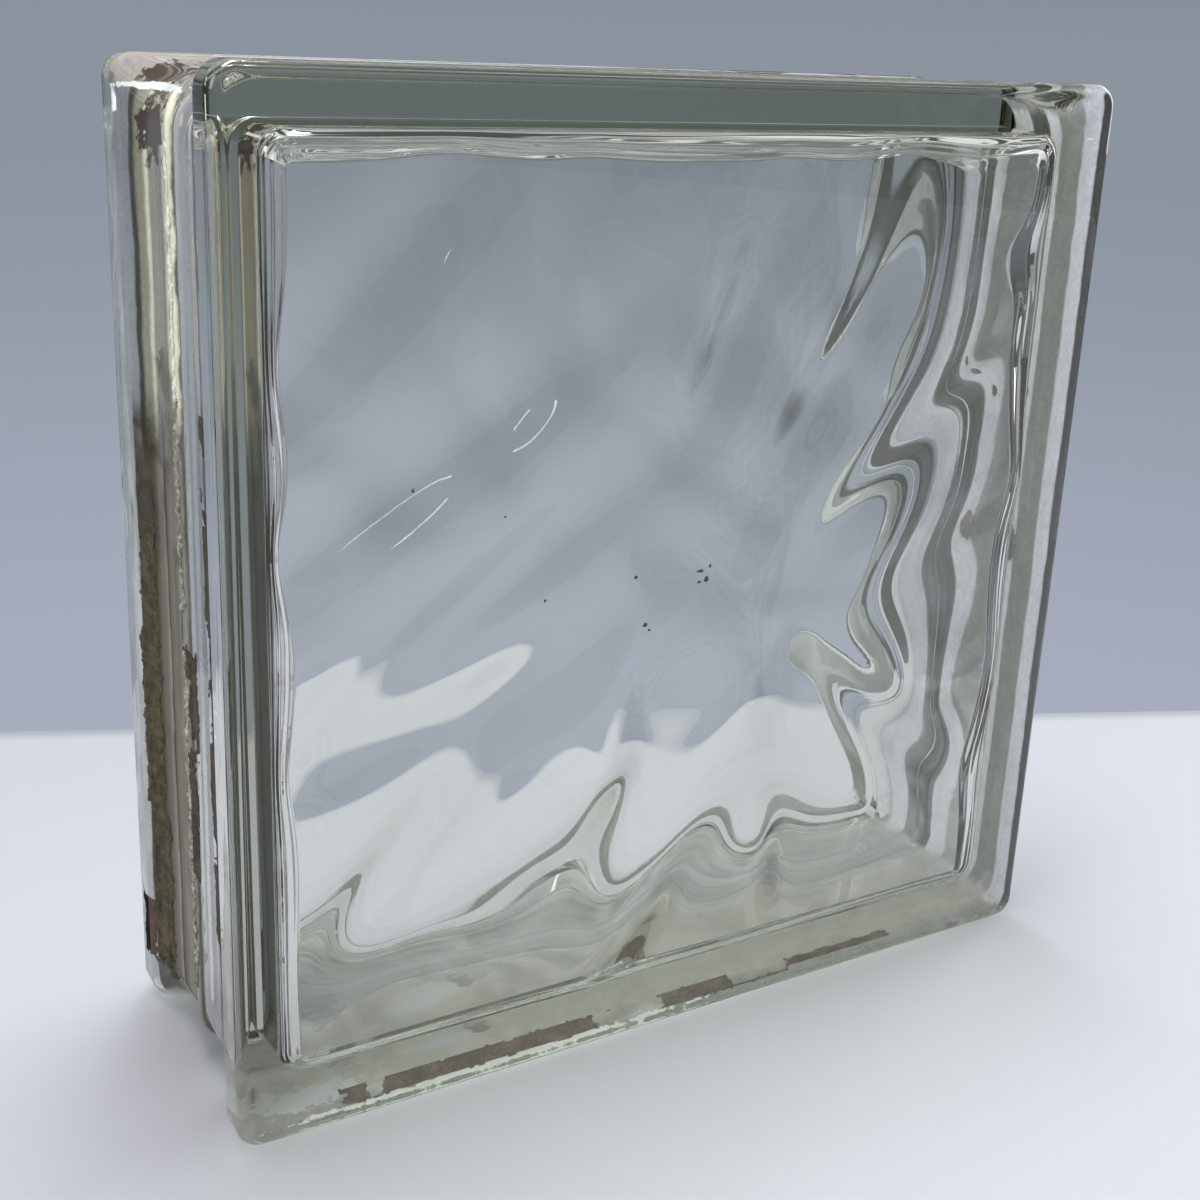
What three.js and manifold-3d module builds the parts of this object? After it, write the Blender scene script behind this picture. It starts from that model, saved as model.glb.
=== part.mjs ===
// A hollow glass block for walls: two pressed glass dishes fused rim to rim.
// Millimetres, +Z up. The block stands on edge, centred on X and Y, with its panes facing
// -Y and +Y and its lowest rims at Z = 0. The fused seam lies in the plane Y = 0.
import * as THREE from "three";
import { mergeVertices } from "three/addons/utils/BufferGeometryUtils.js";
import Module from "manifold-3d";

// Overall block
const blockWidth = 240;
const blockHeight = 240;
const blockDepth = 80; // outer pane face to outer pane face

// Rim and mortar channel, seen in section through one side
const outerCornerRadius = 6; // the four corners of the face
const faceEdgeRadius = 3; // between the outer face and the rim
const rimFlat = 7; // flat band of the rim, behind the rounded edge
const channelDepth = 4; // channel floor below the rim
const channelFloorHalf = 15; // flat floor on each side of the seam
const shoulderRun = 9.7; // how far the rim's straight shoulder aims before it eases into the floor
const channelCornerRadius = 12; // at the channel floor

// Fused seam
const beadHeight = 0.8; // outside, above the channel floor
const beadHalfWidth = 2.5;
const innerBeadHeight = 0.8; // inside, above the cavity wall
const innerBeadHalfWidth = 2.6;

// Cavity
const paneThickness = 9; // mean, halfway up the waves
const wallAtSeam = 7.6; // channel floor to cavity wall
const wallDraft = 2; // degrees, so that the press plunger comes out
const cavityCornerRadius = 6;
const paneFillet = 5.5; // from the pane's inner face to the walls, where the pane has its mean thickness
const leastFillet = 1.5; // where a crest meets the wall
const deepestTrough = 5; // room for the waves below the mean

// Waves pressed into the inner face, each a long crest or, where its rise is negative, a trough.
// across and up place its middle, from the pane's middle. bearing is the way it runs, in degrees
// from level. A crest fades to a third of its rise at its halfLength and at its halfWidth.
const crests = [
  { across: -71, up: -48, rise: 2.8, bearing: 51, halfLength: 43, halfWidth: 9.6 },
  { across: 44, up: -67, rise: 3, bearing: 57, halfLength: 31, halfWidth: 26 },
  { across: 24, up: -85, rise: -2.5, bearing: 99, halfLength: 13.5, halfWidth: 8.8 },
  { across: 76, up: -54, rise: 2.6, bearing: 48, halfLength: 9.5, halfWidth: 37 },
  { across: 32, up: 40, rise: 1.6, bearing: 59, halfLength: 33, halfWidth: 8.2 },
  { across: 54, up: 76, rise: 1.4, bearing: 78, halfLength: 55, halfWidth: 13.7 },
  { across: 73, up: 33.5, rise: 2.1, bearing: 40, halfLength: 49, halfWidth: 10.3 },
  { across: 80.5, up: 80.5, rise: -3.1, bearing: 88, halfLength: 38, halfWidth: 15 },
  { across: -56, up: -89, rise: -2.6, bearing: 82, halfLength: 12, halfWidth: 31 },
  { across: -18, up: -90, rise: -3, bearing: 54, halfLength: 27, halfWidth: 10.3 },
  { across: 80, up: -37, rise: -3.1, bearing: 87, halfLength: 16, halfWidth: 21 },
  { across: 91, up: 14, rise: -2.2, bearing: 25, halfLength: 32, halfWidth: 12 },
  { across: -23.5, up: -44.5, rise: -2, bearing: 62, halfLength: 17, halfWidth: 9.5 },
  { across: -69, up: -24, rise: 3, bearing: 19, halfLength: 32, halfWidth: 10 },
  { across: -28, up: -30.5, rise: -2.8, bearing: 58, halfLength: 27, halfWidth: 9.8 },
  { across: 17, up: -15, rise: -2.7, bearing: 68, halfLength: 27.5, halfWidth: 17.5 },
  { across: -84, up: 30, rise: 2.7, bearing: 31, halfLength: 65, halfWidth: 11.3 },
  { across: -42, up: 73, rise: 0.9, bearing: 72, halfLength: 41, halfWidth: 8.7 },
  { across: -89.5, up: 72.5, rise: 2.2, bearing: 48, halfLength: 43, halfWidth: 10.9 },
  { across: -53.5, up: 6, rise: 2.7, bearing: 35, halfLength: 52, halfWidth: 9.7 },
  { across: 9.5, up: 66, rise: 2.3, bearing: 69, halfLength: 30, halfWidth: 8.4 },
];

// Facets
const cornerFacets = 6;
const edgeFacets = 4; // round the face edge
const shoulderFacets = 6;
const beadFacets = 3;
const waveCells = 38; // across the pane, inside the fillets
const filletFacets = 3;

const wasm = await Module();
wasm.setup();

const halfDepth = blockDepth / 2;
const paneLevel = -halfDepth + paneThickness; // Y of the front pane's mean inner face
const draftSlope = Math.tan(THREE.MathUtils.degToRad(wallDraft));
const cavityInsetAtSeam = channelDepth + wallAtSeam;
const cavityInsetAtPane = cavityInsetAtSeam - paneLevel * draftSlope;
const cavityHalfWidth = blockWidth / 2 - cavityInsetAtPane;
const cavityHalfHeight = blockHeight / 2 - cavityInsetAtPane;

function solidFrom(geometry) {
  const bare = geometry.clone();
  bare.deleteAttribute("normal");
  bare.deleteAttribute("uv");
  const merged = mergeVertices(bare, 1e-4);
  const mesh = new wasm.Mesh({
    numProp: 3,
    vertProperties: merged.attributes.position.array,
    triVerts: new Uint32Array(merged.index.array),
  });
  return new wasm.Manifold(mesh);
}

function geometryFrom(solid) {
  const mesh = solid.getMesh();
  const geometry = new THREE.BufferGeometry();
  geometry.setAttribute("position", new THREE.BufferAttribute(mesh.vertProperties, 3));
  geometry.setIndex(new THREE.BufferAttribute(mesh.triVerts, 1));
  geometry.computeVertexNormals();
  return geometry;
}

function roundedRectangle(halfWidth, halfHeight, radius) {
  const right = halfWidth - radius;
  const top = halfHeight - radius;
  const quarter = Math.PI / 2;
  return new THREE.Shape()
    .absarc(right, top, radius, 0, quarter)
    .absarc(-right, top, radius, quarter, 2 * quarter)
    .absarc(-right, -top, radius, 2 * quarter, 3 * quarter)
    .absarc(right, -top, radius, 3 * quarter, 4 * quarter);
}

// A closed skin over rounded rectangles. Each station gives its depth y, how far it stands in
// from the block's outside, and the radius of its corners. Depths rise from first to last.
function loftThrough(stations) {
  const halfWidth = blockWidth / 2;
  const halfHeight = blockHeight / 2;
  const start = outerCornerRadius;
  const steps = stations.length - 1;
  const geometry = new THREE.ExtrudeGeometry(roundedRectangle(halfWidth, halfHeight, start), {
    depth: steps,
    steps,
    bevelEnabled: false,
    curveSegments: cornerFacets,
  });
  const place = geometry.attributes.position;
  for (let i = 0; i < place.count; i++) {
    const { y, inset, radius } = stations[Math.round(place.getZ(i))];
    const resize = (value, half) => {
      const turn = (Math.abs(value) - half + start) / start; // 0 to 1 round the corner
      return Math.sign(value) * (half - inset - radius + radius * turn);
    };
    const x = resize(place.getX(i), halfWidth);
    const z = resize(place.getY(i), halfHeight);
    place.setXYZ(i, x, y, z + halfHeight);
  }
  // The extrusion's own axes are X, up, towards the viewer, so swapping two turns it inside out.
  const faces = mergeVertices(stripped(geometry), 1e-4).toNonIndexed();
  return flipped(faces);
}

function stripped(geometry) {
  geometry.deleteAttribute("normal");
  geometry.deleteAttribute("uv");
  return geometry;
}

function flipped(geometry) {
  const place = geometry.attributes.position;
  const second = new THREE.Vector3();
  const third = new THREE.Vector3();
  for (let i = 0; i < place.count; i += 3) {
    second.fromBufferAttribute(place, i + 1);
    third.fromBufferAttribute(place, i + 2);
    place.setXYZ(i + 1, third.x, third.y, third.z);
    place.setXYZ(i + 2, second.x, second.y, second.z);
  }
  return geometry;
}

const fractions = (count) => Array.from({ length: count + 1 }, (_, i) => i / count);

// How far a fused bead stands up at a distance from the seam.
const beadRise = (away, height, halfWidth) =>
  height * Math.sqrt(Math.max(0, 1 - (away / halfWidth) ** 2));

// The outside of one dish: face edge, rim, shoulder, channel floor and half of the seam bead.
function outsideStations() {
  const roundedEdge = fractions(edgeFacets).map((part) => {
    const turn = (part * Math.PI) / 2;
    const inset = faceEdgeRadius * (1 - Math.sin(turn));
    const y = -halfDepth + faceEdgeRadius * (1 - Math.cos(turn));
    return { y, inset, radius: outerCornerRadius - inset };
  });
  const rimEnd = -halfDepth + faceEdgeRadius + rimFlat;
  const shoulder = new THREE.QuadraticBezierCurve(
    new THREE.Vector2(rimEnd, 0),
    new THREE.Vector2(rimEnd + shoulderRun, channelDepth),
    new THREE.Vector2(-channelFloorHalf, channelDepth),
  );
  const channelRadius = (inset) =>
    THREE.MathUtils.lerp(outerCornerRadius, channelCornerRadius, inset / channelDepth);
  const channel = shoulder.getPoints(shoulderFacets).map(({ x, y: inset }) => {
    return { y: x, inset, radius: channelRadius(inset) };
  });
  const bead = fractions(beadFacets).map((part) => {
    const away = beadHalfWidth * Math.cos((part * Math.PI) / 2);
    const inset = channelDepth - beadRise(away, beadHeight, beadHalfWidth);
    return { y: part === 1 ? 0 : -away, inset, radius: channelRadius(inset) };
  });
  return [...roundedEdge, ...channel, ...bead];
}

// The drafted cavity walls with half of the inner bead, from below the pane to just past the seam.
function cavityStations() {
  const pastSeam = 1;
  const belowPane = paneLevel - deepestTrough;
  const wall = (y, rise = 0) => {
    const inset = cavityInsetAtSeam - y * draftSlope + rise;
    return { y, inset, radius: cavityCornerRadius };
  };
  const bead = fractions(beadFacets).map((part) => {
    const away = innerBeadHalfWidth * Math.cos((part * Math.PI) / 2);
    return wall(-away, beadRise(away, innerBeadHeight, innerBeadHalfWidth));
  });
  const last = bead[bead.length - 1];
  return [wall(belowPane), ...bead, { ...last, y: pastSeam }];
}

// The pressed relief over the mean pane level, up being the block's Z.
function waveRelief(across, up) {
  let relief = 0;
  for (const crest of crests) {
    const turn = THREE.MathUtils.degToRad(crest.bearing);
    const x = across - crest.across;
    const z = up - blockHeight / 2 - crest.up;
    const along = x * Math.cos(turn) + z * Math.sin(turn);
    const aside = z * Math.cos(turn) - x * Math.sin(turn);
    relief += crest.rise * Math.exp(-((along / crest.halfLength) ** 2) - (aside / crest.halfWidth) ** 2);
  }
  return relief;
}

// Distance in from the cavity's outline at the pane, which is negative outside it.
function insideOutline(across, up) {
  const x = Math.abs(across) - cavityHalfWidth + cavityCornerRadius;
  const z = Math.abs(up - blockHeight / 2) - cavityHalfHeight + cavityCornerRadius;
  const outside = Math.hypot(Math.max(x, 0), Math.max(z, 0));
  return cavityCornerRadius - outside - Math.min(Math.max(x, z), 0);
}

// The fillet's height over the pane: an arc that is tangent to the pane and to the drafted wall.
function filletRise(distance, radius) {
  const lean = THREE.MathUtils.degToRad(wallDraft);
  const centre = (radius * (1 - Math.sin(lean))) / Math.cos(lean);
  const touch = centre - radius * Math.cos(lean);
  if (distance >= centre) return 0;
  const onArc = Math.max(distance, touch);
  const arc = radius - Math.sqrt(radius ** 2 - (centre - onArc) ** 2);
  const past = onArc - distance; // outside the wall the skin climbs a little flatter than the wall
  return arc + (past * 0.75) / draftSlope;
}

// The pane's inner face over its mean level. The fillet leaves the wall at one level all round, so
// a crest leaves it a small radius and a trough a large one.
function innerFace(across, up) {
  const relief = waveRelief(across, up);
  const radius = Math.max(paneFillet - relief, leastFillet);
  return relief + filletRise(insideOutline(across, up), radius);
}

// Grid lines across the pane: close together on both fillets and even between them.
function gridLines(half) {
  const overlap = 0.6;
  const onFillet = fractions(filletFacets).map((part) => paneFillet * (1 - Math.cos((part * Math.PI) / 2)));
  const edge = [-overlap, ...onFillet].map((distance) => distance - half);
  const middle = fractions(waveCells).slice(1, -1);
  const inner = half - paneFillet;
  const between = middle.map((part) => THREE.MathUtils.lerp(-inner, inner, part));
  const farEdge = edge.map((value) => -value).reverse();
  return [...edge, ...between, ...farEdge];
}

// Everything outward of the pane's wavy inner face, as a slab to take out of the cavity.
function wavySlab() {
  const lines = gridLines(cavityHalfWidth);
  const rows = gridLines(cavityHalfHeight);
  const columns = lines.length - 1;
  const geometry = new THREE.BoxGeometry(columns, rows.length - 1, 1, columns, rows.length - 1, 1);
  const place = geometry.attributes.position;
  const backOfSlab = -halfDepth + 1;
  for (let i = 0; i < place.count; i++) {
    const across = lines[Math.round(place.getX(i) + columns / 2)];
    const up = rows[Math.round(place.getY(i) + (rows.length - 1) / 2)] + blockHeight / 2;
    const y = place.getZ(i) > 0 ? paneLevel + innerFace(across, up) : backOfSlab;
    place.setXYZ(i, across, y, up);
  }
  return flipped(stripped(geometry).toNonIndexed());
}

function pressedDish() {
  const outside = solidFrom(loftThrough(outsideStations()));
  const cavity = solidFrom(loftThrough(cavityStations()));
  const slab = solidFrom(wavySlab());
  return geometryFrom(outside.subtract(cavity.subtract(slab)));
}

function glass() {
  return new THREE.MeshStandardMaterial({
    color: 0xc9d2cf,
    roughness: 0.05,
    metalness: 0,
    transparent: true,
    opacity: 0.35,
  });
}

const dish = pressedDish();

const frontHalf = new THREE.Mesh(dish, glass());
frontHalf.name = "front_half";

// The same pressing, turned to face the first.
const backHalf = new THREE.Mesh(dish, glass());
backHalf.name = "back_half";
backHalf.rotation.z = Math.PI;

const group = new THREE.Group();
group.name = "glass_block";
group.add(frontHalf, backHalf);

export default group;
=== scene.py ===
# A hollow glass block out of an old wall: two pressed halves fused into one body of clear glass,
# with flaked edge coating, mortar and soil left in the channel round its rim.
import math

import bmesh
import bpy
from mathutils import Matrix, Vector, noise


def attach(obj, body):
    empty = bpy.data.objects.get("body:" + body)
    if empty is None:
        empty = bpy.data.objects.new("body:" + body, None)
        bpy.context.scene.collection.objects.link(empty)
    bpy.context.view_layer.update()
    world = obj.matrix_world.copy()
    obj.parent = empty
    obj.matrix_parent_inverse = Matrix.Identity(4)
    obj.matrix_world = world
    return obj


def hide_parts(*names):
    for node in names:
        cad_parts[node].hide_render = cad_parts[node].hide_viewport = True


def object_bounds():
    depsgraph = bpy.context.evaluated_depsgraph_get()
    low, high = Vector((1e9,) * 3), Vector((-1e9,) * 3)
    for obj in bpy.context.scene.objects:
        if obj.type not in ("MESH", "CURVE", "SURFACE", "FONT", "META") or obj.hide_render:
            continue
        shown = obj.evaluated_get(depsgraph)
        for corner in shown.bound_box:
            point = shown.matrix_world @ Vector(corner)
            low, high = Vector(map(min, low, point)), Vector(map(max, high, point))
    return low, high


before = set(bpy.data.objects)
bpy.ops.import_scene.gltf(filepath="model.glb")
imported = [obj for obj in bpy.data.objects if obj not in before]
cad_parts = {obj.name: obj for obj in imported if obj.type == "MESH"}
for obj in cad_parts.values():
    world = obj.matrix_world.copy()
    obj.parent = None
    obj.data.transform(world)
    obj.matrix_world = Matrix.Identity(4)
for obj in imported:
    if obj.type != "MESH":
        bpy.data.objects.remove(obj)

mm = 0.001
cadLow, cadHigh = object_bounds()
halfWidth = (cadHigh.x - cadLow.x) / 2
halfDepth = (cadHigh.y - cadLow.y) / 2
halfHeight = (cadHigh.z - cadLow.z) / 2

blockForm = {
    "cornerRadius": 6 * mm,
    "faceEdge": 3 * mm,  # rounding between the outer face and the rim
    "faceSteps": 7,
    "faceMargin": 0.4 * mm,  # a ring this far inside the edge keeps the face flat
    "creaseGap": 0.3 * mm,  # between the two rings that hold a sharp change of slope
    "rimFlat": 7 * mm,
    "rimRing": 1 * mm,  # before the rim's end, where the last flat ring lies
    "rimEase": 0.06 * mm,  # how far the rim's end dips
    "channelDepth": 4 * mm,
    "channelFloorHalf": 15 * mm,
    "shoulderRun": 9.7 * mm,
    "shoulderSteps": 10,
    "shoulderEase": 0.1 * mm,  # eases the rim into the shoulder
    "channelCorner": 12 * mm,
    "floorRings": (-10 * mm, -6 * mm, -3.5 * mm),  # on the channel's flat floor
    "beadSteps": 5,
    "beadHeight": 0.8 * mm,
    "beadHalf": 2.5 * mm,
    "innerBeadHeight": 0.8 * mm,
    "innerBeadHalf": 2.6 * mm,
    "innerBeadSteps": 6,
    "wallSteps": 3,
    "pane": 9 * mm,
    "wallAtSeam": 7.6 * mm,
    "draft": math.radians(2),
    "cavityCorner": 6 * mm,
    "fillet": 5.5 * mm,  # between the pane and the walls, where the pane has its mean thickness
    "footCorner": 1 * mm,
    "footBlend": 24 * mm,  # how far into the pane the foot's moves are taken up
    "footOut": 3 * mm,  # the most that a trough draws the foot in
    "leastRun": 1.6 * mm,  # what a crest leaves of the fillet's width
    "cornerBlend": 0.06,  # of a side, over which the fillet's curve changes to the next side's
    # for each side, the fillet's width, how far its foot moves for each millimetre of relief,
    # the slope at which it leaves the pane and the power of its curl up to the wall
    "filletRun": {
        "left": (4.7 * mm, 1.15, 1.2, 3),
        "right": (9.6 * mm, -1.2, 0.27, 9),
        "top": (6.9 * mm, 1.6, 0.27, 7),
        "bottom": (5.6 * mm, 0.4, 0.27, 6),
    },
    "footSwell": (196 * mm, 10 * mm, 8.5 * mm),  # on the right: height, half length and reach inward
    "filletSteps": 21,
    "rippleRise": 0.07 * mm,  # faint lines that the press leaves round the fillet
    "rippleCount": 4,
    "rippleDrift": 1.2,
    "rippleScale": 12,  # of the noise that lets them drift
    "wallGap": 1.5 * mm,  # from the fillet's top to the first ring of the wall
    "perSide": 128,  # mesh steps along each side
    "cornerSteps": 6,  # of them, on each half corner
}
# The waves in the pane's inner face: across from the middle, up from the floor, rise, bearing in
# degrees, half length and half width. The values are a least-squares fit, rounded.
crests = (
    (-71, 72, 2.8, 51, 43, 9.6),
    (44, 53, 3.0, 57, 31, 26),
    (24, 35, -2.5, 99, 13.5, 8.8),
    (76, 66, 2.6, 48, 9.5, 37),
    (32, 160, 1.6, 59, 33, 8.2),
    (54, 196, 1.4, 78, 55, 13.7),
    (73, 153.5, 2.1, 40, 49, 10.3),
    (80.5, 200.5, -3.1, 88, 38, 15),
    (-56, 31, -2.6, 82, 12, 31),
    (-18, 30, -3.0, 54, 27, 10.3),
    (80, 83, -3.1, 87, 16, 21),
    (91, 134, -2.2, 25, 32, 12),
    (-23.5, 75.3, -2.0, 62, 17, 9.5),
    (-69, 96, 3.0, 19, 32, 10),
    (-28, 89.5, -2.8, 58, 27, 9.8),
    (17, 105, -2.7, 68, 27.5, 17.5),
    (-84, 150, 2.7, 31, 65, 11.3),
    (-42, 193, 0.9, 72, 41, 8.7),
    (-89.5, 192.5, 2.2, 48, 43, 10.9),
    (-53.5, 126, 2.7, 35, 52, 9.7),
    (9.5, 186, 2.3, 69, 30, 8.4),
)


def waveRelief(x, z):
    total = 0
    for acrossAt, up, rise, bearing, long, wide in crests:
        turn = math.radians(bearing)
        dx, dz = x / mm - acrossAt, z / mm - up
        forward = dx * math.cos(turn) + dz * math.sin(turn)
        aside = dz * math.cos(turn) - dx * math.sin(turn)
        total += rise * math.exp(-(forward / long) ** 2 - (aside / wide) ** 2)
    return total * mm


sides = (  # direction along each side and its outward direction, in X and Z
    (Vector((1, 0)), Vector((0, -1))),
    (Vector((0, 1)), Vector((1, 0))),
    (Vector((-1, 0)), Vector((0, 1))),
    (Vector((0, -1)), Vector((-1, 0))),
)


def outlinePoint(along, inset, radius):
    # A point of a rounded rectangle, and the way out of it. along runs 0 to 4 round the four sides.
    side = int(along) % 4
    part = along - int(along)
    forward, out = sides[side]
    half = Vector((halfWidth - inset, halfHeight - inset))
    reach = abs(forward.dot(half)) - radius
    stand = abs(out.dot(half)) - radius
    share = blockForm["cornerSteps"] / blockForm["perSide"]
    if part < share:
        turn = -math.pi / 4 * (1 - part / share)
        centre = forward * -reach
    elif part > 1 - share:
        turn = math.pi / 4 * (1 - (1 - part) / share)
        centre = forward * reach
    else:
        turn = 0
        centre = forward * reach * (2 * (part - share) / (1 - 2 * share) - 1)
    away = out * math.cos(turn) + forward * math.sin(turn)
    return centre + out * stand + away * radius, away


def placeRing(verts, layer, station):
    y, inset, radius = station
    for vert in verts:
        point, away = outlinePoint(vert[layer], inset, radius)
        vert.co = (point.x, y, point.y + halfHeight)


def ofKind(parts, kind):
    return [part for part in parts if isinstance(part, kind)]


def growRings(bm, edges, layer, stations):
    for station in stations:
        grown = bmesh.ops.extrude_edge_only(bm, edges=edges)["geom"]
        verts, edges = ofKind(grown, bmesh.types.BMVert), ofKind(grown, bmesh.types.BMEdge)
        placeRing(verts, layer, station)
    return edges


def beadRise(away, height, half):
    return height * math.sqrt(max(0, 1 - (away / half) ** 2))


def outsideStations():
    form = blockForm
    rimEnd = -halfDepth + form["faceEdge"] + form["rimFlat"]
    stations = []
    for step in range(1, form["faceSteps"] + 1):
        turn = step / form["faceSteps"] * math.pi / 2
        inset = form["faceEdge"] * (1 - math.sin(turn))
        y = -halfDepth + form["faceEdge"] * (1 - math.cos(turn))
        stations.append((y, inset, form["cornerRadius"] - inset))
    stations.append((-halfDepth + form["faceEdge"] + form["creaseGap"], 0, form["cornerRadius"]))
    stations.append((rimEnd - form["rimRing"], 0, form["cornerRadius"]))
    stations.append((rimEnd - form["creaseGap"], form["rimEase"], form["cornerRadius"]))

    def channelRadius(inset):
        share = inset / form["channelDepth"]
        return form["cornerRadius"] + (form["channelCorner"] - form["cornerRadius"]) * share

    steps = form["shoulderSteps"]
    start, aim, end = rimEnd, rimEnd + form["shoulderRun"], -form["channelFloorHalf"]
    for step in range(1, steps + 1):
        t = step / steps
        y = start * (1 - t) ** 2 + 2 * aim * t * (1 - t) + end * t * t
        inset = form["channelDepth"] * (2 * t - t * t)
        if step == 1:
            inset += form["shoulderEase"]
        stations.append((y, inset, channelRadius(inset)))
    for y in form["floorRings"]:
        stations.append((y, form["channelDepth"], form["channelCorner"]))
    for step in range(form["beadSteps"] + 1):
        away = form["beadHalf"] * math.cos(step / form["beadSteps"] * math.pi / 2)
        inset = form["channelDepth"] - beadRise(away, form["beadHeight"], form["beadHalf"])
        stations.append((0 if step == form["beadSteps"] else -away, inset, channelRadius(inset)))
    return stations


def mirrorHalf(bm):
    # The other half is the same pressing turned to face the first, and the two are fused at the seam.
    copy = bmesh.ops.duplicate(bm, geom=bm.verts[:] + bm.edges[:] + bm.faces[:])["geom"]
    verts = ofKind(copy, bmesh.types.BMVert)
    bmesh.ops.rotate(bm, verts=verts, cent=(0, 0, 0), matrix=Matrix.Rotation(math.pi, 3, "Z"))
    bmesh.ops.remove_doubles(bm, verts=bm.verts[:], dist=1e-6)
    bmesh.ops.recalc_face_normals(bm, faces=bm.faces[:])


def outerSkin():
    bm = bmesh.new()
    layer = bm.verts.layers.float.new("along")
    count = 4 * blockForm["perSide"]
    bmesh.ops.create_circle(bm, cap_ends=True, segments=count, radius=1)
    bm.verts.ensure_lookup_table()
    for index, vert in enumerate(bm.verts):
        vert[layer] = index / blockForm["perSide"]
    edge = blockForm["faceEdge"]
    margin = blockForm["faceMargin"]
    placeRing(bm.verts, layer, (-halfDepth, edge + margin, blockForm["cornerRadius"] - edge - margin))
    border = [e for e in bm.edges if e.is_boundary or len(e.link_faces) == 1]
    first = (-halfDepth, edge, blockForm["cornerRadius"] - edge)
    growRings(bm, border, layer, [first] + outsideStations())
    mirrorHalf(bm)
    return bm


def cavityPlaces():
    # The depth of the pane's inner face, and how far in the walls stand at the seam and at the fillet.
    level = -halfDepth + blockForm["pane"]
    seamInset = blockForm["channelDepth"] + blockForm["wallAtSeam"]
    wallInset = seamInset - (level + blockForm["fillet"]) * math.tan(blockForm["draft"])
    return level, seamInset, wallInset


def spread(value, half):
    # Grid coordinate to distance along one axis, and how far it is into the corner square.
    share = blockForm["cornerSteps"] / (blockForm["perSide"] / 2)
    size = abs(value)
    into = max(0, (size - (1 - share)) / share)
    straight = min(size / (1 - share), 1) * (half - blockForm["footCorner"])
    return straight, into


def footShift(value, half, side, relief, height=0):
    # A thick stretch of pane leaves a small fillet, so the foot moves out to the wall there.
    form = blockForm
    run, reach = form["filletRun"][side][:2]
    near = max(0, 1 - (half - abs(value)) / form["footBlend"])
    outward = max(-form["footOut"], min(reach * relief, run - form["leastRun"]))
    if side == "right":
        at, long, far = form["footSwell"]
        outward -= far * math.exp(-((height - at) / long) ** 2)
    return math.copysign(1, value) * outward * near * near * (3 - 2 * near)


def panePoint(u, v):
    # A point of the wavy face, for grid coordinates that run from -1 to 1.
    level, _, wallInset = cavityPlaces()
    corner = blockForm["footCorner"]
    beside, above = "left" if u < 0 else "right", "bottom" if v < 0 else "top"
    footX = halfWidth - wallInset - blockForm["filletRun"][beside][0]
    footZ = halfHeight - wallInset - blockForm["filletRun"][above][0]
    x, intoX = spread(u, footX)
    z, intoZ = spread(v, footZ)
    x = math.copysign(x + corner * intoX * math.sqrt(1 - intoZ ** 2 / 2), u)
    z = math.copysign(z + corner * intoZ * math.sqrt(1 - intoX ** 2 / 2), v)
    height = z + halfHeight
    reliefX = waveRelief(math.copysign(footX, x), height)
    reliefZ = waveRelief(x, math.copysign(footZ, z) + halfHeight)
    shiftX = footShift(x, footX, beside, reliefX, height)
    shiftZ = footShift(z, footZ, above, reliefZ)
    x, z = x + shiftX, z + shiftZ + halfHeight
    return x, level + waveRelief(x, z), z


def wavyPane(bm, layer):
    # The pane's inner face, out to the foot of the fillet. Its border gets its place round the four sides.
    cells = blockForm["perSide"]
    bmesh.ops.create_grid(bm, x_segments=cells, y_segments=cells, size=1)
    for vert in bm.verts:
        u, v = vert.co.x, vert.co.y
        vert.co = panePoint(u, v)
        if abs(v + 1) < 1e-5:
            vert[layer] = (u + 1) / 2
        elif abs(u - 1) < 1e-5:
            vert[layer] = 1 + (v + 1) / 2
        elif abs(v - 1) < 1e-5:
            vert[layer] = 2 + (1 - u) / 2
        elif abs(u + 1) < 1e-5:
            vert[layer] = (3 + (1 - v) / 2) % 4
    return [edge for edge in bm.edges if len(edge.link_faces) == 1]


def filletTurn(along):
    # Slope and power of the fillet, blended from side to side at the corners.
    turns = [blockForm["filletRun"][name][2:] for name in ("bottom", "right", "top", "left")]
    side = int(along) % 4
    part = along - int(along)
    other = (side + 1) % 4 if part > 0.5 else (side - 1) % 4
    blend = max(0, 1 - min(part, 1 - part) / blockForm["cornerBlend"]) / 2
    return [a + (b - a) * blend for a, b in zip(turns[side], turns[other])]


def growFillet(bm, edges, layer):
    # It leaves the pane at a slope, and curls up to meet the wall.
    form = blockForm
    level, _, wallInset = cavityPlaces()
    feet = {}
    for edge in edges:
        for vert in edge.verts:
            feet[round(vert[layer], 5)] = vert.co.copy()
    steps = form["filletSteps"]
    for step in range(1, steps + 1):
        eased = math.sin(step / steps * math.pi / 2)
        grown = bmesh.ops.extrude_edge_only(bm, edges=edges)["geom"]
        edges = ofKind(grown, bmesh.types.BMEdge)
        for vert in ofKind(grown, bmesh.types.BMVert):
            foot = feet[round(vert[layer], 5)]
            point = outlinePoint(vert[layer], wallInset, form["cavityCorner"])[0]
            wall = Vector((point.x, foot.y, point.y + halfHeight))
            leave, power = filletTurn(vert[layer])
            straight = leave * (wall - foot).length
            curled = level + form["fillet"] - foot.y - straight
            drifting = noise.noise(Vector((point.x, point.y, 0)) * form["rippleScale"])
            phase = step / steps * form["rippleCount"] + form["rippleDrift"] * drifting
            ripple = form["rippleRise"] * math.sin(step / steps * math.pi) * math.sin(phase * 2 * math.pi)
            rise = straight * eased + curled * eased ** power + ripple
            vert.co = foot.lerp(wall, eased) + Vector((0, rise, 0))
    return edges


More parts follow.
